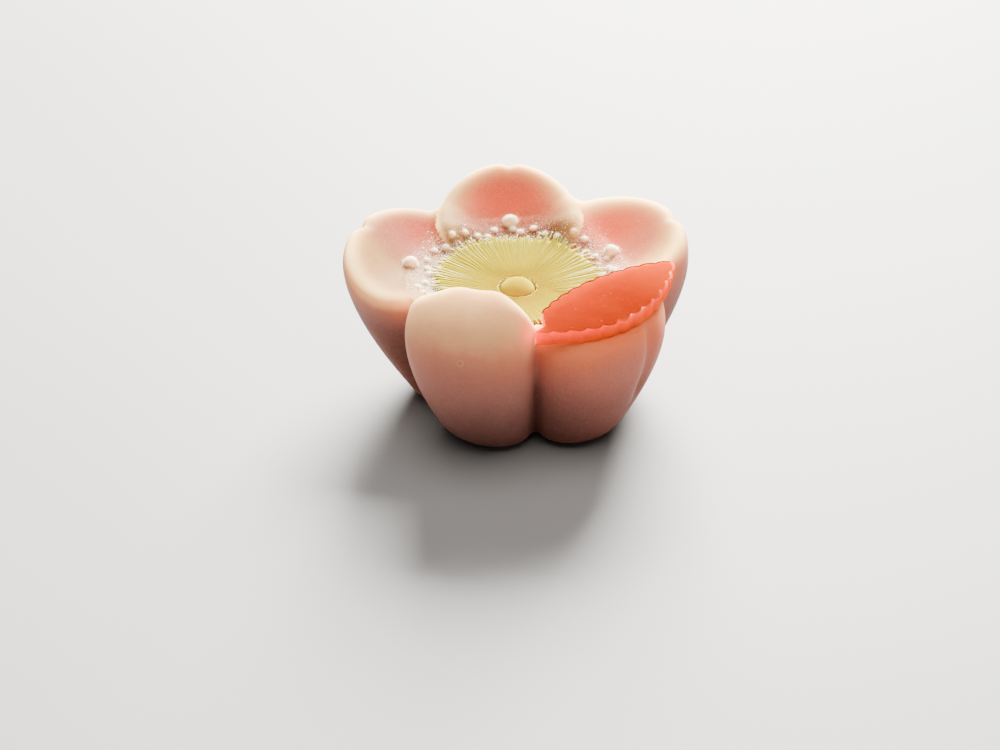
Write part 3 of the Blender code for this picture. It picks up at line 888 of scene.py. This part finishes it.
def growth(name, build, **labels):
    """A geometry node tree with named inputs, ended by realized instances and a set material."""
    tree = bpy.data.node_groups.new(name, "GeometryNodeTree")
    tree.interface.new_socket("Geometry", in_out="INPUT", socket_type="NodeSocketGeometry")
    for label, kind in (*labels.items(), ("Finish", "Material")):
        label = label.replace("_", " ")
        tree.interface.new_socket(label, in_out="INPUT", socket_type="NodeSocket" + kind)
    tree.interface.new_socket("Geometry", in_out="OUTPUT", socket_type="NodeSocketGeometry")
    network = Network(tree)
    entry = tree.nodes.new("NodeGroupInput")
    inputs = {socket.name: Value(network, socket) for socket in entry.outputs if socket.name}
    shape = build(network, inputs)
    shape = network.node("GeometryNodeRealizeInstances", inputs={0: shape})
    shape = network.node("GeometryNodeSetShadeSmooth", inputs={0: shape})
    shape = network.node("GeometryNodeSetMaterial", inputs={0: shape, "Material": inputs["Finish"]})
    exit_node = tree.nodes.new("NodeGroupOutput")
    network.put(exit_node.inputs[0], shape)
    return tree


def grow(thing, tree, finish, **values):
    """Run a geometry node tree on an object and keep the result as its plain mesh."""
    modifier = thing.modifiers.new("grow", "NODES")
    modifier.node_group = tree
    values["Finish"] = finish.surface
    for item in tree.interface.items_tree:
        label = item.name.replace(" ", "_")
        if item.in_out == "INPUT" and label in values:
            modifier[item.identifier] = values[label]
    freeze(thing)
    return thing


def build_threads(network, inputs):
    """Round threads along the edges of a mesh, swelling from their start to their end."""
    paths = network.node("GeometryNodeMeshToCurve", inputs={0: inputs["Geometry"]})
    factor = network.node("GeometryNodeSplineParameter")
    swell = inputs["Start radius"] + (inputs["End radius"] - inputs["Start radius"]) * factor
    profile = network.node(
        "GeometryNodeCurvePrimitiveCircle", inputs={"Resolution": inputs["Sides"], "Radius": 1.0}
    )
    return network.node(
        "GeometryNodeCurveToMesh", inputs={0: paths, 1: profile, "Scale": swell, "Fill Caps": True}
    )


def build_dusting(network, inputs):
    """Grains strewn over a surface, thickest where its dust mask is strongest."""
    mask = network.node("GeometryNodeInputNamedAttribute", inputs={"Name": "dust"})
    points = network.node(
        "GeometryNodeDistributePointsOnFaces", {"distribute_method": "RANDOM"},
        {"Mesh": inputs["Geometry"], "Density": inputs["Density"] * mask ** 2.0, "Seed": inputs["Seed"]},
    )
    return build_grains(network, inputs, points)


def build_grains(network, inputs, points=None):
    """A small round grain on every point, each with its own size and turn."""
    ball = network.node(
        "GeometryNodeMeshIcoSphere",
        inputs={"Radius": inputs["Grain radius"], "Subdivisions": inputs["Detail"]},
    )
    scale = network.node(
        "FunctionNodeRandomValue", {"data_type": "FLOAT_VECTOR"},
        {0: inputs["Least"], 1: inputs["Most"], "Seed": inputs["Seed"]},
    )
    turn = network.node(
        "FunctionNodeRandomValue", {"data_type": "FLOAT_VECTOR"},
        {0: (0.0, 0.0, 0.0), 1: (6.28, 6.28, 6.28), "Seed": inputs["Seed"]},
    )
    spots = points or inputs["Geometry"]
    return network.node(
        "GeometryNodeInstanceOnPoints",
        inputs={"Points": spots, "Instance": ball, "Rotation": turn, "Scale": scale},
    )


def stamen_finish(name, strength):
    """Yellow paste, deeper near the pistil and paler at the disc's edge."""
    finish = Finish(name, 0.2, (1.0, 0.8, 0.3), 0.001)
    x = finish.along("X")
    y = finish.along("Y")
    radius = (x * x + y * y) ** 0.5
    fleck = finish.noise(0.0004, 3.0, 0.6)
    stops = [(share, tuple(strength * channel for channel in tint)) for share, tint in STAMEN_TINTS]
    colour = finish.ramp((radius + (fleck - 0.5) * 0.0012) / 0.0125, stops)
    light = tuple(strength * channel for channel in STAMEN_FLECK)
    finish.feed("Base Color", finish.mix(finish.range(fleck, 0.5, 0.7, 0.0, 0.2), colour, light))
    finish.feed("Roughness", finish.range(fleck, 0.3, 0.7, 0.35, 0.55))
    finish.feed("Normal", finish.bump(fleck, 0.00004))
    return finish


def rest_height(x, y):
    """Lowest height at which a thin layer clears the paste close by."""
    offset = np.array((-DISC_CLEARANCE, 0.0, DISC_CLEARANCE))
    near_x = x[..., None, None] + offset[:, None]
    near_y = y[..., None, None] + offset[None, :]
    near_x, near_y = np.broadcast_arrays(near_x, near_y)
    return top_of_body(near_x, near_y).max(axis=(-1, -2)) + GAP


def ring_faces(rings, sides, closed_middle=False):
    """Quads between rings of points, each ring holding the same number of them."""
    faces = []
    for ring in range(rings - 1):
        for side in range(sides):
            after = (side + 1) % sides
            low = ring * sides
            high = low + sides
            faces.append((low + side, low + after, high + after, high + side))
    if closed_middle:
        low = (rings - 1) * sides
        for side in range(sides):
            faces.append((low + side, low + (side + 1) % sides, rings * sides))
    return faces


def sheet_top(x, y):
    """Height of the yellow sheet, which thins towards its edge and ends in the paste."""
    radius = np.hypot(x, y)
    edge = disc_edge(np.arctan2(y, x))
    share = np.clip((radius - DISC_HOLE) / (edge - DISC_HOLE), 0.0, 1.0)
    thick = DISC_THICK_IN + (DISC_THICK_OUT - DISC_THICK_IN) * share
    sunk = SHEET_SUNK + TIP_DIVE * smooth_step(edge - 0.6, edge + 1.4, radius)
    return rest_height(x, y) + thick - sunk


def make_stamen_sheet(finish):
    """The thin yellow layer under the threads, with a hole for the pistil."""
    angle = np.linspace(0.0, 2.0 * np.pi, DISC_SIDES, endpoint=False)
    share = np.linspace(0.0, 1.0, DISC_RINGS)
    share = np.concatenate([share, share[::-1]])[:, None]
    upper = np.arange(len(share))[:, None] < DISC_RINGS
    radius = DISC_HOLE + (disc_edge(angle) - SHEET_FRINGE - DISC_HOLE) * share
    x = radius * np.cos(angle)
    y = radius * np.sin(angle)
    z = np.where(upper, sheet_top(x, y), rest_height(x, y) - SHEET_BED)
    points = np.stack([x, y, z], axis=-1).reshape(-1, 3)
    faces = ring_faces(len(share), DISC_SIDES)
    last = (len(share) - 1) * DISC_SIDES
    for side in range(DISC_SIDES):
        after = (side + 1) % DISC_SIDES
        faces.append((last + side, last + after, after, side))
    return make_object("stamen_sheet", points, faces, finish)


def thicken(paths, tree, finish, thickness):
    """Grow threads along the edges of an object, from the first radius to the second."""
    start, end = (radius * MM for radius in thickness)
    return grow(paths, tree, finish, Start_radius=start, End_radius=end, Sides=THREAD_SIDES)


def make_threads(name, count, start, past_edge, thickness, tree, finish):
    """Combed threads that fan out over the sheet, each a little bent, to just past the disc's edge."""
    draw = random.Random(SEED)
    points = []
    edges = []
    for index in range(count):
        angle = 2.0 * math.pi * (index + draw.uniform(-0.35, 0.35)) / count
        first = draw.uniform(*start)
        last = float(disc_edge(angle)) + draw.uniform(*past_edge)
        bend = draw.uniform(-STAMEN_BEND, STAMEN_BEND)
        phase = draw.uniform(0.0, 2.0 * math.pi)
        for step in range(STAMEN_STEPS):
            share = step / (STAMEN_STEPS - 1)
            radius = first + (last - first) * share
            turned = angle + bend * share * share + STAMEN_WAVE * share * math.sin(phase + 6.0 * share)
            points.append((radius * math.cos(turned), radius * math.sin(turned), 0.0))
            if step:
                edges.append((len(points) - 2, len(points) - 1))
    points = np.array(points)
    points[:, 2] = sheet_top(points[:, 0], points[:, 1]) - THREAD_SUNK * thickness[1]
    return thicken(make_object(name, points, edges=edges), tree, finish, thickness)


def grain_finish(name, colour, gloss=0.0, roughness=0.35):
    """Translucent pale grains."""
    finish = Finish(name, 0.9, (1.0, 0.9, 0.75), 0.0012, gloss)
    fleck = finish.noise(0.0006, 2.0, 0.5)
    shade = tuple(0.9 * channel for channel in colour)
    finish.feed("Base Color", finish.mix(finish.range(fleck, 0.35, 0.65), colour, shade))
    finish.feed("Roughness", finish.range(fleck, 0.3, 0.7, roughness, roughness + 0.15))
    return finish


def make_collar(finish, tree):
    """Fine pale frill round the pistil."""
    draw = random.Random(SEED)
    spots = []
    for index in range(COLLAR_GRAINS):
        angle = 2.0 * math.pi * (index + draw.uniform(-0.3, 0.3)) / COLLAR_GRAINS
        spots.append((angle, draw.uniform(*COLLAR_RING), draw.uniform(*COLLAR_LIFT)))
    angle, radius, lift = np.array(spots).T
    x = radius * np.cos(angle)
    y = radius * np.sin(angle)
    collar = make_object("collar", np.stack([x, y, sheet_top(x, y) + lift], axis=1))
    grain = dict(Grain_radius=COLLAR_GRAIN * MM, Detail=2, **ROUGH)
    return grow(collar, tree, finish, Seed=SEED, **grain)


def make_dusting(body, finish):
    """Fine starch grains strewn where the petals meet the disc."""
    thing = body.copy()
    thing.data = body.data.copy()
    thing.name = "starch_dusting"
    bpy.context.scene.collection.objects.link(thing)
    tree = growth("dusting", build_dusting, Density="Float", **GRAIN_INPUTS)
    grain = dict(Grain_radius=DUST_GRAIN * MM, Detail=1, **ROUGH)
    return grow(thing, tree, finish, Density=DUST_DENSITY, Seed=SEED, **grain)


def pistil_finish():
    """Smooth golden paste, paler on its crown, with a painted highlight round its shoulder."""
    finish = Finish("pistil_paste", 0.3, (1.0, 0.7, 0.2), 0.0012)
    level = finish.along("Z")
    cloud = finish.noise(0.0012, 3.0, 0.5)
    crown = finish.range(level + (cloud - 0.5) * 0.0008, 0.0182, 0.0203)
    # A paler band round the shoulder: painted highlight
    shoulder_highlight = finish.range(finish.maths("ABSOLUTE", level - 0.0192), 0.0012, 0.0)
    colour = finish.mix(crown, (0.28, 0.165, 0.0), (0.25, 0.18, 0.0))
    finish.feed("Base Color", finish.mix(shoulder_highlight, colour, (0.42, 0.34, 0.0)))
    finish.feed("Roughness", finish.range(cloud, 0.3, 0.7, 0.3, 0.42))
    finish.feed("Normal", finish.bump(finish.noise(0.0003, 2.0, 0.5), 0.00002))
    return finish


def make_pistil(finish):
    """Domed button in the middle of the disc."""
    bottom = FLOOR_Z + GAP
    dome = PISTIL_TOP - bottom - PISTIL_SIDE
    angle = np.linspace(0.0, 2.0 * np.pi, PISTIL_SIDES, endpoint=False)
    uneven = 1.0 + 0.012 * np.cos(2.0 * angle + 0.6) + 0.008 * np.cos(3.0 * angle + 1.9)
    profile = [(PISTIL_FOOT * PISTIL_RADIUS, bottom), (PISTIL_RADIUS, bottom + 0.5 * PISTIL_SIDE)]
    for step in range(PISTIL_RINGS):
        lift = 0.5 * math.pi * step / PISTIL_RINGS
        profile.append((PISTIL_RADIUS * math.cos(lift), bottom + PISTIL_SIDE + dome * math.sin(lift)))
    points = [
        (r * w * math.cos(a), r * w * math.sin(a), z) for r, z in profile for a, w in zip(angle, uneven)
    ]
    points.append((0.0, 0.0, PISTIL_TOP))
    faces = ring_faces(len(profile), PISTIL_SIDES, closed_middle=True)
    faces.append(tuple(range(PISTIL_SIDES)))
    return make_object("pistil_button", points, faces, finish)


def leaf_finish():
    """Clear orange jelly: pinker towards the tips, its side painted a brighter orange as light glowing
    through, and a painted glint along its front edge.
    """
    finish = Finish("leaf_jelly", 0.8, (1.0, 0.25, 0.08), 0.004)
    cloud = finish.noise(0.003, 3.0, 0.5)
    fine = finish.noise(0.0005, 3.0, 0.6)
    colour = finish.mix(finish.attribute("tip"), (0.135, 0.0075, 0.0), (0.24, 0.021, 0.001))
    colour = finish.mix(finish.range(cloud, 0.4, 0.7, 0.0, 0.3), colour, (0.18, 0.013, 0.0))
    colour = finish.mix(finish.range(fine, 0.70, 0.76, 0.0, 0.6), colour, (0.8, 0.2, 0.05))
    # The leaf's side is painted a brighter orange: painted light glowing through the jelly
    colour = finish.mix(finish.attribute("side"), colour, (1.0, 0.065, 0.0))
    # Painted glint on the front edge, brightest at the cusps
    finish.feed("Base Color", finish.mix(finish.attribute("glint"), colour, (0.7, 0.17, 0.09)))
    finish.feed("Roughness", finish.range(fine, 0.3, 0.7, 0.3, 0.45))
    finish.feed("Normal", finish.bump(fine * 0.5 + cloud * 2.0, 0.00005))
    return finish


def leaf_edge_shade_finish():
    """Deep red: painted shade along the leaf's back edge."""
    finish = Finish("leaf_line")
    cloud = finish.range(finish.noise(0.0015, 3.0, 0.5), 0.35, 0.65)
    finish.feed("Base Color", finish.mix(cloud, (0.07, 0.006, 0.003), (0.11, 0.009, 0.004)))
    finish.feed("Roughness", 0.4)
    return finish


def from_leaf(u, v):
    """Place of a point that lies `u` along the leaf and `v` across it from its middle."""
    middle, _, along, across = leaf_frame()
    return middle[0] + u * along[0] + v * across[0], middle[1] + u * along[1] + v * across[1]


def leaf_outline(tooth_share):
    """The leaf's pinked outline, its back side first, and how near each point is to a front cusp."""
    length = leaf_frame()[1]
    steps = LEAF_TEETH * LEAF_STEPS
    shares = leaf_shares(steps)
    outline = []
    cusps = []
    for side in (1.0, -1.0):
        for step in range(steps):
            share = shares[step] * side
            tooth = abs(math.sin(math.pi * step / LEAF_STEPS))
            half = float(leaf_half_width(share)) + LEAF_TOOTH * tooth_share * tooth
            outline.append((share * length / 2.0, side * half * float(leaf_nip(share, side))))
            cusps.append((1.0 - tooth) ** 3 if side < 0.0 else 0.0)
    return np.array(outline), cusps


def leaf_profile():
    """The leaf's section from its middle below to its middle above: share of the outline and level."""
    foot = -LEAF_THICK - LEAF_FOOT_LOW
    edge = []
    for step in range(LEAF_EDGE_STEPS + 1):
        turn = 0.5 * math.pi * step / LEAF_EDGE_STEPS
        inwards = LEAF_EDGE * (1.0 - math.sin(turn)) / LEAF_HALF
        edge.append((1.0 - inwards, LEAF_EDGE * (1.0 - math.cos(turn))))
    inner = [LEAF_GLINT_FROM]
    inner += [(1.0 - (step / LEAF_RINGS) ** 0.8) * LEAF_GLINT_FROM for step in range(1, LEAF_RINGS)]
    profile = [(scale, foot) for scale in reversed(inner)]
    profile += [(scale, foot + drop) for scale, drop in edge]
    profile.append((1.0, -LEAF_GLINT_END))
    profile += [(scale, -drop) for scale, drop in reversed(edge)]
    profile += [(scale, 0.0) for scale in inner]
    return profile, foot, edge[0][0]


def make_leaf(finish):
    """Flat jelly leaf with a pinked edge and softly rounded rims."""
    length = leaf_frame()[1]
    upper, cusps = leaf_outline(1.0)
    lower, _ = leaf_outline(LEAF_FOOT_TOOTH)
    profile, foot, flat_edge = leaf_profile()
    points = []
    masks = {"tip": [], "glint": [], "side": []}
    for scale, drop in profile:
        rim = smooth_step(LEAF_GLINT_FROM, flat_edge, scale) * smooth_step(-LEAF_GLINT_END, 0.0, drop)
        ring = scale * (upper + (lower - upper) * drop / foot)
        for (u, v), cusp in zip(ring, cusps):
            points.append((*from_leaf(u, v), float(leaf_top(u, v)) + drop))
            share = u / (length / 2.0)
            pale = smooth_step(0.1, 0.95, share) + 0.6 * smooth_step(-0.85, -1.0, share)
            pale = pale + 0.5 * smooth_step(0.3, 1.0, v / LEAF_HALF)
            # Painted glint along the front edge
            lit = 0.0
            if v < 0.0:
                lit = smooth_step(*LEAF_GLINT_START, share) * (0.6 + 0.4 * math.sin(9.0 * share + 1.0))
            masks["tip"].append(min(pale, 1.0))
            masks["glint"].append(rim * (cusp + LEAF_GLINT_LEAST) * lit)
            # Where the side's painted light lies
            masks["side"].append(smooth_step(-0.02, -0.7 * LEAF_EDGE, drop))
    for drop in (0.0, foot):
        points.append((*from_leaf(0.0, 0.0), float(leaf_top(0.0, 0.0)) + drop))
        for label in masks:
            masks[label].append(0.0)
    sides = len(upper)
    faces = ring_faces(len(profile), sides, closed_middle=True)
    for side in range(sides):
        faces.append(((side + 1) % sides, side, len(points) - 1))
    return make_object("jelly_leaf_cut", points, faces, finish, masks)


def make_leaf_edge_shade(tree, finish):
    """Thin dark line of painted shade along the top of the leaf's back edge."""
    outline, _ = leaf_outline(1.0)
    u, v = LEAF_LINE_AT * outline[LEAF_LINE_FROM : LEAF_TEETH * LEAF_STEPS].T
    points = np.stack([*from_leaf(u, v), leaf_top(u, v) - LEAF_LINE_SUNK], axis=1)
    edges = [(index, index + 1) for index in range(len(points) - 1)]
    line = make_object("jelly_leaf_line", points, edges=edges)
    return thicken(line, tree, finish, (LEAF_LINE_RADIUS, LEAF_LINE_RADIUS))


def make_studio():
    """Pale floor, soft light from behind and above, a weak fill, and the camera."""
    world = bpy.data.worlds.new("studio")
    world.use_nodes = True
    sky = world.node_tree.nodes["Background"]
    sky.inputs["Color"].default_value = (*FILL_COLOUR, 1.0)
    sky.inputs["Strength"].default_value = FILL_STRENGTH
    bpy.context.scene.world = world

    finish = Finish("studio_floor", gloss=0.2)
    cloud = finish.noise(0.08, 2.0)
    finish.feed("Base Color", finish.mix(cloud, (0.25, 0.25, 0.248), (0.275, 0.274, 0.271)))
    finish.feed("Roughness", 0.6)
    corners = [(-FLOOR, -FLOOR, 0), (FLOOR, -FLOOR, 0), (FLOOR, FLOOR, 0), (-FLOOR, FLOOR, 0)]
    make_object("studio_floor", corners, [(0, 1, 2, 3)], finish)

    for name, place, side, power, colour in LAMPS:
        lamp = bpy.data.lights.new(name, "AREA")
        lamp.size = side
        lamp.energy = power
        lamp.color = colour
        thing = bpy.data.objects.new(name, lamp)
        bpy.context.scene.collection.objects.link(thing)
        thing.location = place
        towards = Vector(LAMP_AIM) - Vector(place)
        thing.rotation_euler = towards.to_track_quat("-Z", "Y").to_euler()

    camera = bpy.data.cameras.new("camera")
    camera.lens = LENS
    camera.sensor_width = SENSOR
    camera.sensor_fit = "HORIZONTAL"
    camera.clip_start = 0.01
    viewer = bpy.data.objects.new("camera", camera)
    bpy.context.scene.collection.objects.link(viewer)
    viewer.location = CAMERA_PLACE
    viewer.rotation_euler = (math.radians(CAMERA_TILT), 0.0, 0.0)
    bpy.context.scene.camera = viewer


def main():
    make_studio()
    body = make_petals()
    pale_grain = grain_finish("starch_grain", (0.86, 0.67, 0.43), 0.05)
    grains = growth("grains", build_grains, **GRAIN_INPUTS)
    dress(body, "petal_paste", "petals")
    dress(make_dusting(body, pale_grain), "petal_paste", "petals")
    yellow = stamen_finish("stamen_paste", 1.0)
    # The sheet shows between the threads, so its copy of the yellow is painted a little darker: painted
    # shade in the gaps
    dress(make_stamen_sheet(stamen_finish("stamen_bed", 0.93)), "stamen_paste", "stamen_disc")
    threads = growth("threads", build_threads, Start_radius="Float", End_radius="Float", Sides="Int")
    stamens = make_threads(
        "stamen_threads", STAMENS, STAMEN_START, STAMEN_PAST, STAMEN_RADIUS, threads, yellow
    )
    dress(stamens, "stamen_paste", "stamen_disc")
    pale_yellow = grain_finish("stamen_tip", (0.33, 0.275, 0.03))
    tips = make_threads("stamen_tips", TIPS, TIP_START, TIP_PAST, TIP_RADIUS, threads, pale_yellow)
    dress(tips, "stamen_paste", "stamen_disc")
    frill = grain_finish("collar_frill", (0.28, 0.22, 0.02))
    dress(make_collar(frill, grains), "stamen_paste", "stamen_disc")
    dress(make_pistil(pistil_finish()), "pistil_paste", "pistil")
    dress(make_leaf(leaf_finish()), "leaf_jelly", "jelly_leaf")
    dress(make_leaf_edge_shade(threads, leaf_edge_shade_finish()), "leaf_jelly", "jelly_leaf")


main()
